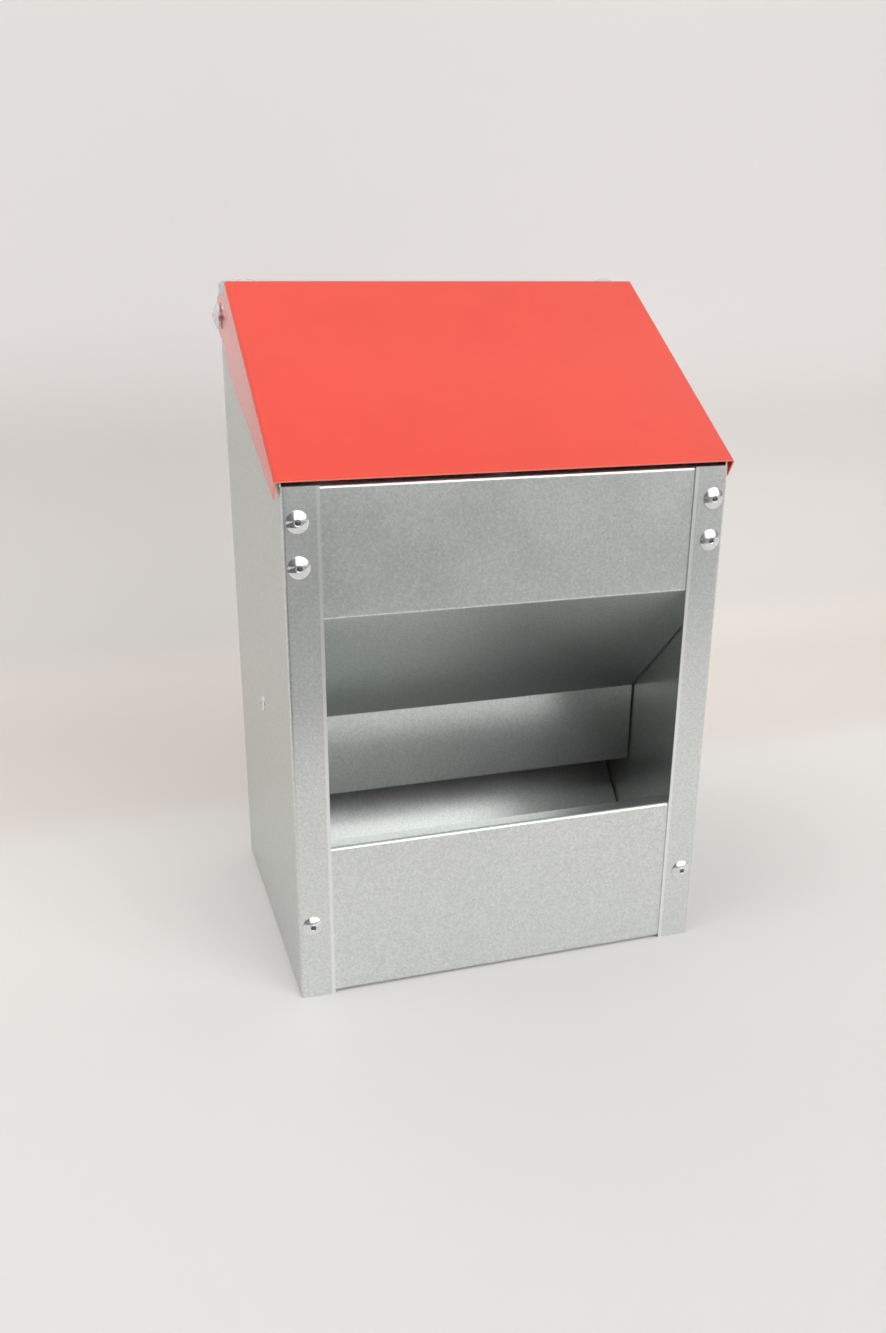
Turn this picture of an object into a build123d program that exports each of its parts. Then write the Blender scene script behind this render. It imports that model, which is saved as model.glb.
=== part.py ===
"""Galvanized hopper feeder for poultry: a folded sheet body, riveted together, with a hinged painted lid.

Millimetres. The front faces -Y, +Z is up, and the origin is the middle of the base on the ground.
"""

import math
import os

from build123d import *

# Body
body_width = 200.0  # over the two side walls
body_depth = 157.0  # over the front and rear flanges
front_height = 239.0  # top of the front flanges
rear_height = 312.0  # level top behind the lid
top_depth = 41.5  # length of the level top
slope_step = 1.0  # the sloping edges of the side walls start this far above the front flanges
sheet = 0.7  # thickness of every sheet
inner_bend = 0.8  # inside radius of every fold
flange_width = 16.0  # flanges and tabs folded from the side walls
tab_leg = 6.0  # height of wall that a short tab's profile shares
corner_relief = 1.0  # slot where two flanges would meet
fit_gap = 0.3  # room between a tab's end and the sheet that passes it

# Front panel and baffle, one sheet
return_depth = 10.0  # stiffening fold along a top edge
panel_drop = 55.8  # from the top of the front panel down to where it turns back
baffle_depth = 76.0  # from the front of the body to the upright baffle plate
baffle_top = 109.7
baffle_bottom = 67.0
side_tab_length = 14.0  # tab that fixes the slope to a side wall, measured along the slope
side_tab_height = 14.0
side_tab_start = 1.0  # distance of the tab from the fold below it
side_tab_rivet = 7.3  # height of the tab's rivet above the slope

# Feed trough, one sheet
lip_height = 76.0
lip_return_drop = 1.2  # the return along the lip slopes down by this much, inwards
ramp_start = 54.5  # from the front of the body to where the bottom and the ramp would meet if unrounded
ramp_angle = 47.5
ramp_bend = 90.0  # inside radius of the sweep from the bottom into the ramp
rear_tab_height = 16.0
rear_tab_rivet = 9.0  # height of the tab's rivet above the ramp's upper fold

# Back panel, one sheet
strip_setback = 0.5  # front edge of the level strip behind the start of the level top
back_base_gap = 1.0  # lower edge of the back panel above the ground
wall_hole = 7.0
wall_hole_spacing = 100.0
wall_hole_drop = 42.0  # wall holes below the level top

# Lid, one sheet
lid_seat_gap = 1.0  # lid above the sloping edges of the side walls
lid_overhang = 0.5  # lid plate ahead of the front end of the sloping edges
lid_rear_gap = 0.4  # lid plate short of the level top
lid_side_gap = 1.7  # lid flange off the side wall
lid_front_flange = 9.0  # depth of the side flange at the front
toe_ahead = 19.5  # lowest corner of the flange's rear end, ahead of the pivot
toe_below = 23.5  # the same corner, below the pivot
ear_radius = 10.0
ear_neck = 7.5  # straight lower edge of the ear ahead of the pivot
flange_corner = 3.0  # rounding of the flange's rear corners
front_corner = 1.0
pivot_setback = 20.0  # pivot ahead of the rear of the body
pivot_drop = 15.0  # pivot below the level top
pivot_clearance = 0.08  # radial, between the lid and its hinge rivet

# Rivets
body_rivet = {"shank": 4.8, "head": 9.5, "rim": 0.4, "dome": 1.3}
baffle_rivet = {"shank": 4.0, "head": 8.0, "rim": 0.3, "dome": 0.9}
hinge_rivet = {"shank": 4.8, "head": 12.0, "rim": 0.8, "dome": 1.9}
hinge_head_gap = 0.6  # head off the ear, so that the lid turns freely
hole_clearance = 0.05  # radial, around a set rivet
rivet_inset = 6.4  # front and rear rivets from the outside of the side wall
bottom_rivet_height = 37.8
front_middle_rivet_drop = 33.1  # below the top of the front flanges
front_top_rivet_drop = 14.3
rear_top_rivet_drop = 27.0  # below the level top
top_rivet_inset = 8.8
top_rivet_setback = 8.0  # from the front edge of the level strip

# Hinge washer
washer_diameter = 12.0
washer_thickness = 1.5
washer_clearance = 0.1  # radial, on the hinge rivet

# Sizes worked out from those above
half_width = body_width / 2
half_depth = body_depth / 2
outer_bend = inner_bend + sheet
wall_inside = half_width - sheet
panel_half_width = wall_inside - inner_bend  # the panels end where the folds of the side walls begin
behind_front_flange = -half_depth + sheet
behind_rear_flange = half_depth - sheet
tab_end = behind_rear_flange - sheet - inner_bend - fit_gap
level_start = half_depth - top_depth
strip_front = level_start + strip_setback
slope_front = front_height + slope_step
slope_run = level_start + half_depth
slope_rise = rear_height - slope_front
slope_length = math.hypot(slope_run, slope_rise)
along_slope = Vector(0, slope_run / slope_length, slope_rise / slope_length)
panel_bottom = front_height - panel_drop
baffle_front = -half_depth + baffle_depth
back_inside = behind_rear_flange - sheet
ramp_fold = -half_depth + ramp_start
ramp_top = sheet + (back_inside - ramp_fold) * math.tan(math.radians(ramp_angle))
pivot_y = half_depth - pivot_setback
pivot_z = rear_height - pivot_drop
ear_inside = half_width + lid_side_gap
lid_half_width = ear_inside + sheet
hinge_seat = lid_half_width + hinge_head_gap
drill_reach = 3.0  # a hole is drilled this far each side of its starting face
rivet_x = half_width - rivet_inset
top_rivet_x = half_width - top_rivet_inset
top_rivet_y = strip_front + top_rivet_setback
front_rivet_heights = {
    "bottom": bottom_rivet_height,
    "middle": front_height - front_middle_rivet_drop,
    "top": front_height - front_top_rivet_drop,
}
rear_rivet_heights = {
    "bottom": bottom_rivet_height,
    "middle": ramp_top + rear_tab_rivet,
    "top": rear_height - rear_top_rivet_drop,
}

# Planes that features start on
front_plane = Plane.XZ.offset(half_depth)
rear_plane = Plane.XZ.offset(-half_depth)
lid_plane = Plane(origin=(0, -half_depth, slope_front), x_dir=(1, 0, 0), z_dir=-along_slope)
down_baffle = Vector(0, baffle_front - behind_front_flange, baffle_top - panel_bottom).normalized()
baffle_plane = Plane(origin=(0, baffle_front, baffle_top), x_dir=(1, 0, 0), z_dir=-down_baffle)
side_tab_middle = baffle_plane.from_local_coords(
    Vector(0, side_tab_rivet, side_tab_start + side_tab_length / 2)
)


def folded_sheet(points, bends=None):
    """Section of a folded sheet: the points follow one face, and the sheet lies to their left.

    The bends are the inside radii at the points between the ends, and inner_bend everywhere if not given.
    """
    bends = bends or [inner_bend] * (len(points) - 2)
    face = [Vector(*point) for point in points]
    headings = [(end - start).normalized() for start, end in zip(face, face[1:])]
    sides = [heading.rotate(Axis.Z, 90) for heading in headings]
    turns_left = [before.cross(after).Z > 0 for before, after in zip(headings, headings[1:])]
    corners = [
        point + (before + after) * (sheet / (1 + before.dot(after)))
        for point, before, after in zip(face[1:], sides, sides[1:])
    ]
    other_face = [face[0] + sides[0] * sheet, *corners, face[-1] + sides[-1] * sheet]
    face_radii = [bend + sheet if left else bend for bend, left in zip(bends, turns_left)]
    other_radii = [bend if left else bend + sheet for bend, left in zip(bends, turns_left)]
    with BuildSketch(mode=Mode.PRIVATE) as section:
        with BuildLine():
            FilletPolyline(*face, radius=face_radii)
            FilletPolyline(*other_face, radius=other_radii)
            Line(face[0], other_face[0])
            Line(face[-1], other_face[-1])
        make_face()
    return section.sketch


def drill(plane, spots, diameter):
    """Round holes through the thin sheet that lies at the plane."""
    with BuildSketch(plane) as holes:
        with Locations(*spots):
            Circle(diameter / 2 + hole_clearance)
    extrude(holes.sketch, amount=drill_reach, both=True, mode=Mode.SUBTRACT)


def save(part, name):
    part.label = name
    export_step(part, f"parts/{name}.step")


os.makedirs("parts", exist_ok=True)

# Left side wall: a U in plan, cut to the slope of the lid, with a tab at the top and a flange at the base
with BuildPart() as side_panel_left:
    with BuildSketch(Plane.XY):
        add(folded_sheet([
            (-half_width + flange_width, half_depth),
            (-half_width, half_depth),
            (-half_width, -half_depth),
            (-half_width + flange_width, -half_depth),
        ]))
    extrude(amount=rear_height)
    with BuildSketch(Plane.YZ):
        with BuildLine():
            Polyline(
                (level_start, rear_height),
                (level_start, rear_height - outer_bend),
                (body_depth, rear_height - outer_bend),
                (body_depth, rear_height + slope_rise),
                (-half_depth - slope_run, rear_height + slope_rise),
                (-half_depth - slope_run, slope_front - slope_rise),
                close=True,
            )
        make_face()
        with Locations((-half_depth, front_height)):
            Rectangle(outer_bend, rear_height, align=(Align.MIN, Align.MIN))
    extrude(amount=-body_width, mode=Mode.SUBTRACT)
    with BuildSketch(Plane.YZ):
        with Locations((0, outer_bend / 2)):
            Rectangle(body_depth - 2 * outer_bend, outer_bend)
    extrude(amount=-body_width, mode=Mode.SUBTRACT)
    with BuildSketch(Plane.XZ.offset(-level_start - corner_relief)):
        add(folded_sheet([
            (-half_width + flange_width, rear_height),
            (-half_width, rear_height),
            (-half_width, rear_height - tab_leg),
        ]))
    extrude(amount=level_start + corner_relief - tab_end)
    with BuildSketch(Plane.XZ):
        add(folded_sheet([
            (-half_width, tab_leg),
            (-half_width, 0),
            (-half_width + flange_width, 0),
        ]))
    extrude(amount=tab_end, both=True)
    drill(front_plane, [(-rivet_x, z) for z in front_rivet_heights.values()], body_rivet["shank"])
    drill(rear_plane, [(-rivet_x, z) for z in rear_rivet_heights.values()], body_rivet["shank"])
    drill(Plane.XY.offset(rear_height), [(-top_rivet_x, top_rivet_y)], body_rivet["shank"])
    drill(Plane.YZ.offset(-half_width), [(pivot_y, pivot_z)], hinge_rivet["shank"])
    drill(
        Plane.YZ.offset(-half_width),
        [(side_tab_middle.Y, side_tab_middle.Z)],
        baffle_rivet["shank"],
    )
save(side_panel_left.part, "side_panel_left")

with BuildPart() as side_panel_right:
    mirror(side_panel_left.part, about=Plane.YZ)
save(side_panel_right.part, "side_panel_right")

# Front panel: top return, front, slope and upright baffle plate, made as a right half and mirrored
with BuildPart() as front_panel:
    with BuildSketch(Plane.YZ):
        add(folded_sheet([
            (behind_front_flange + return_depth, front_height),
            (behind_front_flange, front_height),
            (behind_front_flange, panel_bottom),
            (baffle_front, baffle_top),
            (baffle_front, baffle_bottom),
        ]))
    extrude(amount=panel_half_width)
    with BuildSketch(baffle_plane.offset(side_tab_start - corner_relief)):
        with Locations((wall_inside - outer_bend / 2, 0)):
            Rectangle(outer_bend, 2 * outer_bend)
    extrude(amount=side_tab_length + 2 * corner_relief, mode=Mode.SUBTRACT)
    with BuildSketch(baffle_plane.offset(side_tab_start)):
        add(folded_sheet([
            (wall_inside - tab_leg, 0),
            (wall_inside, 0),
            (wall_inside, side_tab_height),
        ]))
    extrude(amount=side_tab_length)
    upper_heights = (front_rivet_heights["middle"], front_rivet_heights["top"])
    drill(front_plane, [(rivet_x, z) for z in upper_heights], body_rivet["shank"])
    drill(
        Plane.YZ.offset(wall_inside),
        [(side_tab_middle.Y, side_tab_middle.Z)],
        baffle_rivet["shank"],
    )
    mirror(about=Plane.YZ)
save(front_panel.part, "front_panel")

# Feed trough: lip return, front lip, bottom that sweeps up into the ramp, and rear tab
trough_points = [
    (behind_front_flange + return_depth, lip_height - lip_return_drop),
    (behind_front_flange, lip_height),
    (behind_front_flange, sheet),
    (ramp_fold, sheet),
    (back_inside, ramp_top),
    (back_inside, ramp_top + rear_tab_height),
]
with BuildPart() as feed_trough:
    with BuildSketch(Plane.YZ):
        add(folded_sheet(trough_points, bends=[inner_bend, inner_bend, ramp_bend, inner_bend]))
    extrude(amount=panel_half_width, both=True)
    for side in (-1, 1):
        drill(front_plane, [(side * rivet_x, front_rivet_heights["bottom"])], body_rivet["shank"])
        drill(rear_plane, [(side * rivet_x, rear_rivet_heights["middle"])], body_rivet["shank"])
save(feed_trough.part, "feed_trough")

# Back panel: upright sheet, folded forward into the level strip behind the lid
with BuildPart() as back_panel:
    with BuildSketch(Plane.YZ):
        add(folded_sheet([
            (behind_rear_flange, back_base_gap),
            (behind_rear_flange, rear_height + sheet),
            (strip_front, rear_height + sheet),
        ]))
    extrude(amount=panel_half_width, both=True)
    for side in (-1, 1):
        drill(rear_plane, [(side * rivet_x, z) for z in rear_rivet_heights.values()], body_rivet["shank"])
        drill(Plane.XY.offset(rear_height), [(side * top_rivet_x, top_rivet_y)], body_rivet["shank"])
    with BuildSketch(rear_plane):
        with Locations((0, rear_height - wall_hole_drop)):
            with GridLocations(wall_hole_spacing, 0, 2, 1):
                Circle(wall_hole / 2)
    extrude(amount=drill_reach, both=True, mode=Mode.SUBTRACT)
save(back_panel.part, "back_panel")

# Lid: a channel along the slope, cut to its side outline with the hinge ears, as a right half and mirrored
lid_top = lid_seat_gap + sheet
lid_front = -lid_overhang
lid_rear = slope_length - lid_rear_gap
ear_top = pivot_z + ear_radius
ear_bottom = pivot_z - ear_radius
across_slope = Vector(0, -along_slope.Z, along_slope.Y)


def beside_slope(along, above):
    """Point in the side view, given along the sloping edge from its front end and square above it."""
    spot = Vector(0, -half_depth, slope_front) + along_slope * along + across_slope * above
    return (spot.Y, spot.Z)


rear_edge_drop = (beside_slope(lid_rear, 0)[1] - ear_top) / across_slope.Z
with BuildPart() as lid:
    with BuildSketch(lid_plane):
        add(folded_sheet([
            (lid_half_width, -front_height),
            (lid_half_width, lid_top),
            (0, lid_top),
        ]))
    extrude(amount=-body_depth - slope_length)
    with BuildSketch(Plane.YZ):
        with BuildLine():
            FilletPolyline(
                (pivot_y, ear_top),
                beside_slope(lid_rear, -rear_edge_drop),
                beside_slope(lid_rear, lid_top + sheet),
                beside_slope(lid_front, lid_top + sheet),
                beside_slope(lid_front, lid_top - lid_front_flange),
                (pivot_y - toe_ahead, pivot_z - toe_below),
                (pivot_y - ear_neck, ear_bottom),
                (pivot_y, ear_bottom),
                radius=[front_corner, 0, 0, front_corner, flange_corner, flange_corner],
            )
            ThreePointArc((pivot_y, ear_bottom), (pivot_y + ear_radius, pivot_z), (pivot_y, ear_top))
        make_face()
        with Locations((pivot_y, pivot_z)):
            Circle(hinge_rivet["shank"] / 2 + pivot_clearance, mode=Mode.SUBTRACT)
    extrude(amount=body_width, mode=Mode.INTERSECT)
    mirror(about=Plane.YZ)
save(lid.part, "lid")


def set_rivet(sizes, grip):
    """Set blind rivet on +Z, its head seated at Z = 0 and its spread end below the grip."""
    shank = sizes["shank"] / 2
    head = sizes["head"] / 2
    stem = 0.54 * shank  # the mandrel that stays in the rivet
    stem_recess = 0.35 * sizes["dome"]
    spread = 1.4 * shank
    spread_end = -grip - 2.1 * shank
    dome_radius = (head**2 + sizes["dome"] ** 2) / (2 * sizes["dome"])
    crown = sizes["rim"] + sizes["dome"] - dome_radius + math.sqrt(dome_radius**2 - stem**2)
    with BuildPart() as rivet:
        with BuildSketch(Plane.XZ):
            with BuildLine():
                RadiusArc((stem, crown), (head, sizes["rim"]), dome_radius)
                Polyline(
                    (head, sizes["rim"]),
                    (head, 0),
                    (shank, 0),
                    (shank, -grip),
                    (spread, -grip),
                    (spread, (spread_end - grip) / 2),
                    (shank, spread_end),
                    (0, spread_end),
                    (0, crown - stem_recess),
                    (stem, crown - stem_recess),
                    (stem, crown),
                )
            make_face()
        revolve(axis=Axis.Z)
    return rivet.part


two_sheets = 2 * sheet
three_sheets = 3 * sheet
top_z = rear_height + sheet
rivets = []
for hand, side in (("left", -1), ("right", 1)):
    for level, height in front_rivet_heights.items():
        seat = Plane((side * rivet_x, -half_depth, height), z_dir=(0, -1, 0))
        rivets.append((f"front_rivet_{level}_{hand}", body_rivet, two_sheets, seat))
    for level, height in rear_rivet_heights.items():
        seat = Plane((side * rivet_x, half_depth, height), z_dir=(0, 1, 0))
        grip = three_sheets if level == "middle" else two_sheets
        rivets.append((f"rear_rivet_{level}_{hand}", body_rivet, grip, seat))
    seat = Plane((side * top_rivet_x, top_rivet_y, top_z), z_dir=(0, 0, 1))
    rivets.append((f"top_rivet_{hand}", body_rivet, two_sheets, seat))
    seat = Plane((side * half_width, side_tab_middle.Y, side_tab_middle.Z), z_dir=(side, 0, 0))
    rivets.append((f"baffle_rivet_{hand}", baffle_rivet, two_sheets, seat))
    seat = Plane((side * hinge_seat, pivot_y, pivot_z), z_dir=(side, 0, 0))
    rivets.append((f"hinge_rivet_{hand}", hinge_rivet, hinge_seat - wall_inside, seat))

for name, sizes, grip, seat in rivets:
    with BuildPart() as rivet:
        with Locations(seat):
            add(set_rivet(sizes, grip))
    save(rivet.part, name)

# Washers that space the hinge ears off the side walls
for hand, side in (("left", -1), ("right", 1)):
    with BuildPart() as hinge_washer:
        with BuildSketch(Plane.YZ.offset(side * half_width)):
            with Locations((pivot_y, pivot_z)):
                Circle(washer_diameter / 2)
                Circle(hinge_rivet["shank"] / 2 + washer_clearance, mode=Mode.SUBTRACT)
        extrude(amount=side * washer_thickness)
    save(hinge_washer.part, f"hinge_washer_{hand}")
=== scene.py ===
"""Looks of the galvanized poultry feeder: camera, studio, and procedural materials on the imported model."""

import math

import bmesh
import bpy
from mathutils import Matrix, Vector


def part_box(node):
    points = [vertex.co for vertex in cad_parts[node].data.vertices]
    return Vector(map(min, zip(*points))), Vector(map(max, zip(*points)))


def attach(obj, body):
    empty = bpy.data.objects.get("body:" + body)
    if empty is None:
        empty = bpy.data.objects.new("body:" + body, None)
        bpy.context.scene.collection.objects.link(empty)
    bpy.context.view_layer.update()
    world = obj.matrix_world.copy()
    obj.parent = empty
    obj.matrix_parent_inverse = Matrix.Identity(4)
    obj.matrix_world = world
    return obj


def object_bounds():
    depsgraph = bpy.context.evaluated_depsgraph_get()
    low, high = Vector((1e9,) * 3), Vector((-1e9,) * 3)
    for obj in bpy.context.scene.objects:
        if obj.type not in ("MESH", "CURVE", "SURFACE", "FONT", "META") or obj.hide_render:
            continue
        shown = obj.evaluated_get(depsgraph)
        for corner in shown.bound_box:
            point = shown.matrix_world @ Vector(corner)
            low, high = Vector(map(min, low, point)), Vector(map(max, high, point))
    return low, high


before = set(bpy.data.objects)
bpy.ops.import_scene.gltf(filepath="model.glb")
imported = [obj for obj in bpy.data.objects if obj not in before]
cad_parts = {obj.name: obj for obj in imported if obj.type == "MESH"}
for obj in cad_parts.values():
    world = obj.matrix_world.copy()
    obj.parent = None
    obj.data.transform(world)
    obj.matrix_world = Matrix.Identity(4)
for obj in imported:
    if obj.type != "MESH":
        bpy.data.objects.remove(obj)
cad_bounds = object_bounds()

MM = 0.001
WHITE = (1.0, 1.0, 1.0, 1.0)
MID_NOISE = (0.3, 0.7)  # the span that most of a noise texture's values lie in

# Camera, solved from the photograph's edges
IMAGE_HEIGHT = 1333
FOCAL_PIXELS = 1179.85
SENSOR = 36.0
CAMERA_PLACE = (-0.17723, -0.54296, 0.32507)
CAMERA_AZIMUTH = 17.49
CAMERA_ELEVATION = -21.06
CAMERA_ROLL = 0.39
CAMERA_SHIFT = (-0.0016, 0.0321)

# Floor and backdrop: colours from the front of the floor to the top of the wall, and where each gives way.
# The changes are painted light and shade: painted shade on the far floor and the wall, painted light at the
# top of the wall and towards the right
FLOOR_COLOUR = (0.76, 0.743, 0.725, 1.0)
FAR_FLOOR = (0.11, 0.17)  # behind the feeder's middle
FAR_FLOOR_SHADE_COLOUR = (0.735, 0.685, 0.635, 1.0)
WALL_FOOT = (0.005, 0.03)  # heights
WALL_SHADE_COLOUR = (0.665, 0.642, 0.622, 1.0)
WALL_TOP = (0.13, 0.28)
WALL_TOP_LIGHT_COLOUR = (0.75, 0.728, 0.722, 1.0)
PAINTED_LIGHT_TO_RIGHT = (-0.1, 0.4)
PAINTED_RIGHT_GAIN = (1.06, 1.06, 1.06, 1.0)
PAPER_ROUGHNESS = 0.9
PAPER_SHINE = 0.2
WALL_DISTANCE = 0.42
WALL_HEIGHT = 1.5
COVE_RADIUS = 0.18
COVE_STEPS = 24
STUDIO_WIDTH = 6.0

# Light of the room: angles in degrees, to the right of the front and above the ground
LEFT_LIGHT = 0.03
LEFT_TO_RIGHT = (-60, 60)
RIGHT_LIGHT = 0.15
RIGHT_TO_REAR = (70, 120)
REAR_LIGHT = 1.0
WALLS_TO_OVERHEAD = (35, 75)
OVERHEAD_LIGHT = 0.95
WINDOW_LIGHT = 2.8
WINDOW_SIDES = (-5, 55)
WINDOW_RISE = (5, 48)
WINDOW_SOFTNESS = 9

# Large soft lamp, high on the left
LAMP_PLACE = (-1.0, -0.3, 2.0)
LAMP_AIM = (0.0, 0.0, 0.15)
LAMP_SIZE = 1.5
LAMP_POWER = 14.0

# Floor of the room past the table's edge
TABLE_EDGE = ((-0.60, -0.20), (1.50, -0.995))
ROOM_FLOOR_SPAN = (-0.25, 0.15)  # from left to right, where its light changes
ROOM_FLOOR_LIGHT = (0.03, 0.24)

# Galvanized sheet
ZINC_DARK = (0.695, 0.72, 0.705, 1.0)
ZINC_LIGHT = (0.775, 0.80, 0.784, 1.0)
MOTTLE_SIZE = 1.6 * MM
CLOUD_SIZE = 34 * MM
CLOUD_SHARE = 0.2  # of the tone; the mottling has the rest
GRAIN_SHARPNESS = 0.6
FLECK_SIZE = 0.9 * MM
FLECK_DARK = (0.665, 0.69, 0.675, 1.0)
FLECK_LIGHT = (0.82, 0.84, 0.826, 1.0)
LOW_NOISE = (0.37, 0.27)
HIGH_NOISE = (0.63, 0.73)
ZINC_ROUGHNESS = (0.28, 0.32)  # below 0.275 the denoiser would draw the clouds' contours
ZINC_HAZE = 0.25
ZINC_HAZE_ROUGHNESS = 0.6
ZINC_EDGE_TINT = (0.84, 0.85, 0.84, 1.0)  # dulls the reflection at grazing angles

# Painted highlight: a light strip along the free edges of the front flanges, where their rounded cut edges
# catch the light
FRONT_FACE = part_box("side_panel_left")[0][1]
EDGE_HIGHLIGHT_COLOUR = (0.88, 0.89, 0.875, 1.0)
EDGE_HIGHLIGHT_FROM_MIDDLE = (85.8 * MM, 85.3 * MM)
EDGE_HIGHLIGHT_DEPTH = (FRONT_FACE + 0.9 * MM, FRONT_FACE + 0.7 * MM)

# Red paint
RED = (0.83, 0.040, 0.008, 1.0)
RED_DEEP = (0.80, 0.036, 0.007, 1.0)
RED_EDGE_HIGHLIGHT = (0.86, 0.22, 0.17, 1.0)  # painted highlight on the cut edge along the front
LID_SLOPE = 31.94  # degrees
FACING_DOWN_SLOPE = (0.9, 0.98)
DRIFT_SIZE = 45 * MM
PAINT_ROUGHNESS = (0.16, 0.22)
PEEL_SIZE = 1.6 * MM
PEEL_DEPTH = 0.05 * MM
PEEL_STRENGTH = 0.08
COAT_WEIGHT = 0.5
COAT_ROUGHNESS = 0.1

# Bright metals
ALUMINIUM = (0.86, 0.87, 0.88)
WASHER_ZINC = (0.62, 0.63, 0.64)
MANDREL_STEEL = (0.16, 0.155, 0.15)
MARK_SIZE = 0.5 * MM
MARK_TONE = 0.9
MARK_ROUGHNESS = 1.5  # times the metal's own
BRIGHT_HAZE = 0.3
BRIGHT_HAZE_ROUGHNESS = 0.5

# Blind rivets' middles, turned about the rivet's axis: radius, and height from the edge of the head's recess
COLLAR_PROFILE = ((1.82, -0.14), (1.70, 0.04), (1.50, 0.10), (1.30, 0.05), (1.17, -0.10), (1.17, -0.26))
STEM_PROFILE = ((1.17, -0.26), (1.0, -0.20), (0.62, -0.16), (0.45, -0.06), (0.0, -0.03))
TURNED_SIDES = 24
RIVET_AXES = {"front": (0, -1, 0), "rear": (0, 1, 0), "top": (0, 0, 1)}


def make_camera():
    """Camera at the photograph's place, turned by azimuth, elevation and roll."""
    azimuth, elevation, roll = (
        math.radians(angle) for angle in (CAMERA_AZIMUTH, CAMERA_ELEVATION, CAMERA_ROLL)
    )
    forward = Vector((
        math.sin(azimuth) * math.cos(elevation),
        math.cos(azimuth) * math.cos(elevation),
        math.sin(elevation),
    ))
    level_right = Vector((math.cos(azimuth), -math.sin(azimuth), 0))
    level_up = level_right.cross(forward)
    right = level_right * math.cos(roll) + level_up * math.sin(roll)
    up = -level_right * math.sin(roll) + level_up * math.cos(roll)
    data = bpy.data.cameras.new("camera")
    data.sensor_width = SENSOR
    data.lens = FOCAL_PIXELS / IMAGE_HEIGHT * SENSOR
    data.shift_x, data.shift_y = CAMERA_SHIFT
    camera = bpy.data.objects.new("camera", data)
    turn = Matrix((right, up, -forward)).transposed().to_4x4()
    camera.matrix_world = Matrix.Translation(CAMERA_PLACE) @ turn
    bpy.context.scene.collection.objects.link(camera)
    bpy.context.scene.camera = camera


class Nodes:
    """Short calls for building one node tree."""

    def __init__(self, tree):
        self.tree = tree
        tree.nodes.clear()

    def fill(self, socket, value):
        """Give a socket a value, or another node's output."""
        if isinstance(value, bpy.types.NodeSocket):
            self.tree.links.new(value, socket)
        else:
            socket.default_value = value

    def add(self, kind, inputs=None, **settings):
        """New node: settings go on the node, inputs on its sockets."""
        node = self.tree.nodes.new(kind)
        for key, value in settings.items():
            setattr(node, key, value)
        for key, value in (inputs or {}).items():
            self.fill(node.inputs[key], value)
        return node

    def math(self, operation, *values):
        """Output of a Math node."""
        return self.add("ShaderNodeMath", dict(enumerate(values)), operation=operation).outputs[0]

    def split(self, vector):
        """X, Y and Z of a vector."""
        return self.add("ShaderNodeSeparateXYZ", {"Vector": vector}).outputs

    def noise(self, place, size, detail, sharpness=0.5):
        """Noise with lumps of about this size."""
        node = self.add("ShaderNodeTexNoise", {
            "Vector": place, "Scale": 1 / size, "Detail": detail, "Roughness": sharpness,
        })
        return node.outputs["Fac"]

    def ramp(self, value, low, high, to_low=0.0, to_high=1.0):
        """Value carried smoothly from one range to another."""
        node = self.add(
            "ShaderNodeMapRange",
            {"Value": value, "From Min": low, "From Max": high, "To Min": to_low, "To Max": to_high},
            interpolation_type="SMOOTHSTEP",
        )
        return node.outputs["Result"]

    def mix(self, factor, first, second, blend="MIX"):
        """Colour mixed from two."""
        node = self.add("ShaderNodeMix", data_type="RGBA", blend_type=blend)
        for socket, value in zip((node.inputs[0], node.inputs[6], node.inputs[7]), (factor, first, second)):
            self.fill(socket, value)
        return node.outputs[2]


def new_material(name):
    material = bpy.data.materials.new(name)
    material.use_nodes = True
    nodes = Nodes(material.node_tree)
    place = nodes.add("ShaderNodeTexCoord").outputs["Object"]
    return material, nodes, place


def finish_material(nodes, inputs, haze=0.0, haze_roughness=1.0):
    """Principled surface; haze is the share of it that reflects with a rougher finish."""
    surface = nodes.add("ShaderNodeBsdfPrincipled", inputs).outputs[0]
    if haze > 0:
        rough = nodes.add("ShaderNodeBsdfPrincipled", {**inputs, "Roughness": haze_roughness})
        surface = nodes.add("ShaderNodeMixShader", {0: haze, 1: surface, 2: rough.outputs[0]}).outputs[0]
    nodes.add("ShaderNodeOutputMaterial", {"Surface": surface})


def flange_edge_highlight(nodes, place):
    """Mask of the painted highlight: 1 along the free edges of the front flanges, 0 elsewhere."""
    parts = nodes.split(place)
    sideways = nodes.ramp(nodes.math("ABSOLUTE", parts["X"]), *EDGE_HIGHLIGHT_FROM_MIDDLE)
    return nodes.math("MULTIPLY", sideways, nodes.ramp(parts["Y"], *EDGE_HIGHLIGHT_DEPTH))


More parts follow.
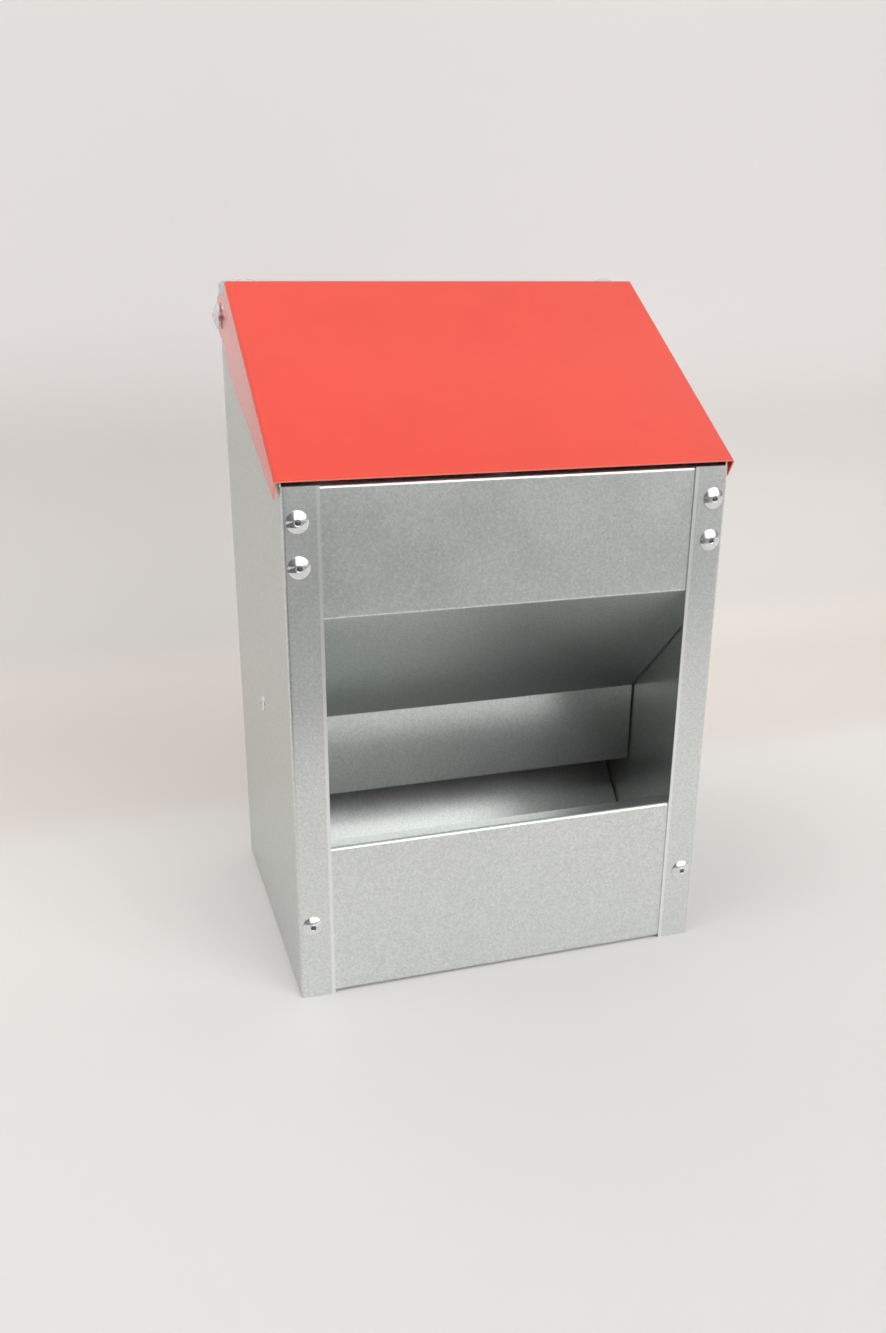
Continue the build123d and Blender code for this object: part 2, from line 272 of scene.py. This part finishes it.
def galvanized(name, edge_highlighted=False):
    """Zinc-coated sheet: fine mottling with small flecks, soft clouds and a satin reflection; optionally a
    painted highlight along the front flanges' free edges.
    """
    material, nodes, place = new_material(name)
    mottle = nodes.noise(place, MOTTLE_SIZE, 1.0, GRAIN_SHARPNESS)
    fleck = nodes.noise(place, FLECK_SIZE, 0.0, GRAIN_SHARPNESS)
    cloud = nodes.noise(place, CLOUD_SIZE, 2.0, GRAIN_SHARPNESS)
    clouded = nodes.math("MULTIPLY", cloud, CLOUD_SHARE)
    tone = nodes.math("MULTIPLY_ADD", mottle, 1 - CLOUD_SHARE, clouded)
    colour = nodes.mix(nodes.ramp(tone, *MID_NOISE), ZINC_DARK, ZINC_LIGHT)
    colour = nodes.mix(nodes.ramp(fleck, *LOW_NOISE), colour, FLECK_DARK)
    colour = nodes.mix(nodes.ramp(fleck, *HIGH_NOISE), colour, FLECK_LIGHT)
    # Painted highlight: a lighter strip along the front flanges' free edges, for light on their rounded cut
    # edges
    if edge_highlighted:
        colour = nodes.mix(flange_edge_highlight(nodes, place), colour, EDGE_HIGHLIGHT_COLOUR)
    finish_material(nodes, {
        "Base Color": colour,
        "Metallic": 1.0,
        "Specular Tint": ZINC_EDGE_TINT,
        "Roughness": nodes.ramp(cloud, *MID_NOISE, *ZINC_ROUGHNESS),
    }, ZINC_HAZE, ZINC_HAZE_ROUGHNESS)
    return material


def red_paint():
    """Smooth paint with a trace of orange peel, and a painted highlight on the cut edge along the front."""
    material, nodes, place = new_material("red_paint_coat")
    slope = math.radians(LID_SLOPE)
    normal = nodes.add("ShaderNodeTexCoord").outputs["Normal"]
    facing = nodes.add(
        "ShaderNodeVectorMath",
        {0: normal, 1: (0.0, -math.cos(slope), -math.sin(slope))},
        operation="DOT_PRODUCT",
    ).outputs["Value"]
    drift = nodes.noise(place, DRIFT_SIZE, 3.0)
    peel = nodes.noise(place, PEEL_SIZE, 2.0)
    relief = nodes.add(
        "ShaderNodeBump", {"Height": peel, "Strength": PEEL_STRENGTH, "Distance": PEEL_DEPTH}
    ).outputs["Normal"]
    coat = nodes.mix(nodes.ramp(drift, *MID_NOISE), RED_DEEP, RED)
    finish_material(nodes, {
        # Painted highlight: paler red on the cut face along the front, which looks down the slope
        "Base Color": nodes.mix(nodes.ramp(facing, *FACING_DOWN_SLOPE), coat, RED_EDGE_HIGHLIGHT),
        "Roughness": nodes.ramp(drift, *MID_NOISE, *PAINT_ROUGHNESS),
        "Coat Weight": COAT_WEIGHT,
        "Coat Roughness": COAT_ROUGHNESS,
        "Normal": relief,
    })
    return material


def bright_metal(name, colour, roughness):
    """Bare bright metal with fine handling marks."""
    material, nodes, place = new_material(name)
    marks = nodes.ramp(nodes.noise(place, MARK_SIZE, 4.0), *MID_NOISE)
    marked = (*(MARK_TONE * level for level in colour), 1.0)
    rougher = MARK_ROUGHNESS * roughness
    finish_material(nodes, {
        "Base Color": nodes.mix(marks, marked, (*colour, 1.0)),
        "Metallic": 1.0,
        "Roughness": nodes.math("MULTIPLY_ADD", marks, rougher - roughness, roughness),
    }, BRIGHT_HAZE, BRIGHT_HAZE_ROUGHNESS)
    return material


def dress(node, material):
    """Give a CAD node its detailed material."""
    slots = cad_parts[node].data.materials
    slots.clear()
    slots.append(material)


def dress_all():
    sheet = galvanized("galvanized_zinc")
    for node in ("front_panel", "feed_trough", "back_panel"):
        dress(node, sheet)
    # The side panels' sheet carries the painted highlight along their flanges' free edges
    edge_highlighted = galvanized("galvanized_zinc_edge_highlighted", edge_highlighted=True)
    for node in ("side_panel_left", "side_panel_right"):
        dress(node, edge_highlighted)
    dress("lid", red_paint())
    rivet = bright_metal("rivet_aluminium", ALUMINIUM, 0.06)
    washer = bright_metal("washer_zinc", WASHER_ZINC, 0.3)
    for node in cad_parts:
        if "rivet" in node:
            dress(node, rivet)
        elif "washer" in node:
            dress(node, washer)


def link(name, mesh):
    piece = bpy.data.objects.new(name, mesh)
    bpy.context.scene.collection.objects.link(piece)
    return piece


def rivet_axis(node):
    """Way that a rivet's head faces; those without an axis of their own are in a side wall."""
    kind = node.split("_")[0]
    side = -1 if node.endswith("left") else 1
    return Vector(RIVET_AXES.get(kind, (side, 0, 0)))


def turn_on_rivets(name, profile, material):
    """One mesh that repeats a turned profile on the head of every rivet."""
    mesh = bmesh.new()
    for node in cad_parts:
        if "rivet" not in node:
            continue
        low, high = (Vector(corner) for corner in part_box(node))
        axis = rivet_axis(node)
        crown = (low + high) / 2 + axis * abs((high - low).dot(axis)) / 2
        turn = axis.to_track_quat("Z", "Y").to_matrix().to_4x4()
        rings = []
        for radius, height in profile:
            place = Matrix.Translation(crown) @ turn @ Matrix.Translation((0, 0, height * MM))
            if radius == 0:
                rings.append([mesh.verts.new(place.translation)] * TURNED_SIDES)
            else:
                ring = bmesh.ops.create_circle(mesh, segments=TURNED_SIDES, radius=radius * MM, matrix=place)
                rings.append(ring["verts"])
        for lower, upper in zip(rings, rings[1:]):
            for i in range(TURNED_SIDES):
                j = (i + 1) % TURNED_SIDES
                corners = dict.fromkeys((lower[i], lower[j], upper[j], upper[i]))
                mesh.faces.new(corners)
    bmesh.ops.recalc_face_normals(mesh, faces=mesh.faces)
    data = bpy.data.meshes.new(name)
    mesh.to_mesh(data)
    mesh.free()
    data.shade_smooth()
    data.materials.append(material)
    piece = link(name, data)
    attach(piece, "feeder")


def make_rivet_middles():
    collar = bright_metal("collar_aluminium", ALUMINIUM, 0.08)
    turn_on_rivets("rivet_collars", COLLAR_PROFILE, collar)
    stem = bright_metal("mandrel_steel", MANDREL_STEEL, 0.3)
    turn_on_rivets("rivet_mandrels", STEM_PROFILE, stem)


def make_studio():
    """Pale floor that curves up into a backdrop, with painted shade and light in its colour."""
    wall = cad_bounds[1][1] + WALL_DISTANCE
    profile = [(-STUDIO_WIDTH, 0.0)]
    for step in range(COVE_STEPS + 1):
        angle = math.pi / 2 * step / COVE_STEPS
        profile.append((
            wall - COVE_RADIUS + COVE_RADIUS * math.sin(angle),
            COVE_RADIUS - COVE_RADIUS * math.cos(angle),
        ))
    profile.append((wall, WALL_HEIGHT))
    mesh = bpy.data.meshes.new("studio_floor")
    vertices = [(side * STUDIO_WIDTH, y, z) for y, z in profile for side in (-1, 1)]
    faces = [(2 * i, 2 * i + 1, 2 * i + 3, 2 * i + 2) for i in range(len(profile) - 1)]
    mesh.from_pydata(vertices, [], faces)
    mesh.shade_smooth()
    floor = link("studio_floor", mesh)
    material, nodes, place = new_material("studio_paper")
    parts = nodes.split(place)
    colour = FLOOR_COLOUR
    # Painted shade on the far floor and the wall, painted light at the top of the wall
    for axis, span, further in (
        ("Y", FAR_FLOOR, FAR_FLOOR_SHADE_COLOUR),
        ("Z", WALL_FOOT, WALL_SHADE_COLOUR),
        ("Z", WALL_TOP, WALL_TOP_LIGHT_COLOUR),
    ):
        colour = nodes.mix(nodes.ramp(parts[axis], *span), colour, further)
    # Painted light: the paper made lighter towards the right
    colour = nodes.mix(nodes.ramp(parts["X"], *PAINTED_LIGHT_TO_RIGHT), colour, PAINTED_RIGHT_GAIN, "MULTIPLY")
    finish_material(nodes, {
        "Base Color": colour, "Roughness": PAPER_ROUGHNESS, "Specular IOR Level": PAPER_SHINE,
    })
    mesh.materials.append(material)


def make_room_floor():
    """Dimmer floor of the room past the table's edge, which only shiny surfaces see."""
    (left, left_edge), (right, right_edge) = TABLE_EDGE
    mesh = bpy.data.meshes.new("room_floor")
    mesh.from_pydata([
        (left, left_edge, MM), (right, right_edge, MM), (right, -STUDIO_WIDTH, MM), (left, -STUDIO_WIDTH, MM),
    ], [], [(0, 1, 2, 3)])
    card = link("room_floor", mesh)
    material, nodes, place = new_material("room_floor_glow")
    strength = nodes.ramp(nodes.split(place)["X"], *ROOM_FLOOR_SPAN, *ROOM_FLOOR_LIGHT)
    glow = nodes.add("ShaderNodeEmission", {"Color": WHITE, "Strength": strength})
    nodes.add("ShaderNodeOutputMaterial", {"Surface": glow.outputs[0]})
    mesh.materials.append(material)
    card.visible_camera = False
    card.visible_diffuse = False
    card.visible_shadow = False


def make_world():
    """Room dim on the left, brighter on the right, behind and overhead, with a soft window in front."""
    scene = bpy.context.scene
    world = bpy.data.worlds.new("studio_world")
    world.use_nodes = True
    scene.world = world
    nodes = Nodes(world.node_tree)
    parts = nodes.split(nodes.add("ShaderNodeTexCoord").outputs["Generated"])
    forward = nodes.math("MULTIPLY", parts["Y"], -1.0)
    turn = nodes.math("DEGREES", nodes.math("ARCTAN2", parts["X"], forward))
    rise = nodes.math("DEGREES", nodes.math("ARCSINE", parts["Z"]))
    front = nodes.ramp(turn, *LEFT_TO_RIGHT, LEFT_LIGHT, RIGHT_LIGHT)
    walls = nodes.ramp(turn, *RIGHT_TO_REAR, front, REAR_LIGHT)
    room = nodes.ramp(rise, *WALLS_TO_OVERHEAD, walls, OVERHEAD_LIGHT)
    window = WINDOW_LIGHT
    for angle, (start, end) in ((turn, WINDOW_SIDES), (rise, WINDOW_RISE)):
        for edge, sense in ((start, 1), (end, -1)):
            reach = sense * WINDOW_SOFTNESS
            window = nodes.math("MULTIPLY", window, nodes.ramp(angle, edge - reach, edge + reach))
    light = nodes.math("ADD", room, window)
    sky = nodes.add("ShaderNodeBackground", {"Color": WHITE, "Strength": light})
    nodes.add("ShaderNodeOutputWorld", {"Surface": sky.outputs[0]})


def make_lamp():
    data = bpy.data.lights.new("lamp_left", "AREA")
    data.shape = "DISK"
    data.size = LAMP_SIZE
    data.energy = LAMP_POWER
    lamp = link("lamp_left", data)
    lamp.location = LAMP_PLACE
    aim = Vector(LAMP_AIM) - Vector(LAMP_PLACE)
    lamp.rotation_euler = aim.to_track_quat("-Z", "Y").to_euler()


make_camera()
make_studio()
make_room_floor()
make_world()
make_lamp()
dress_all()
make_rivet_middles()

bpy.context.scene.view_settings.view_transform = "Standard"
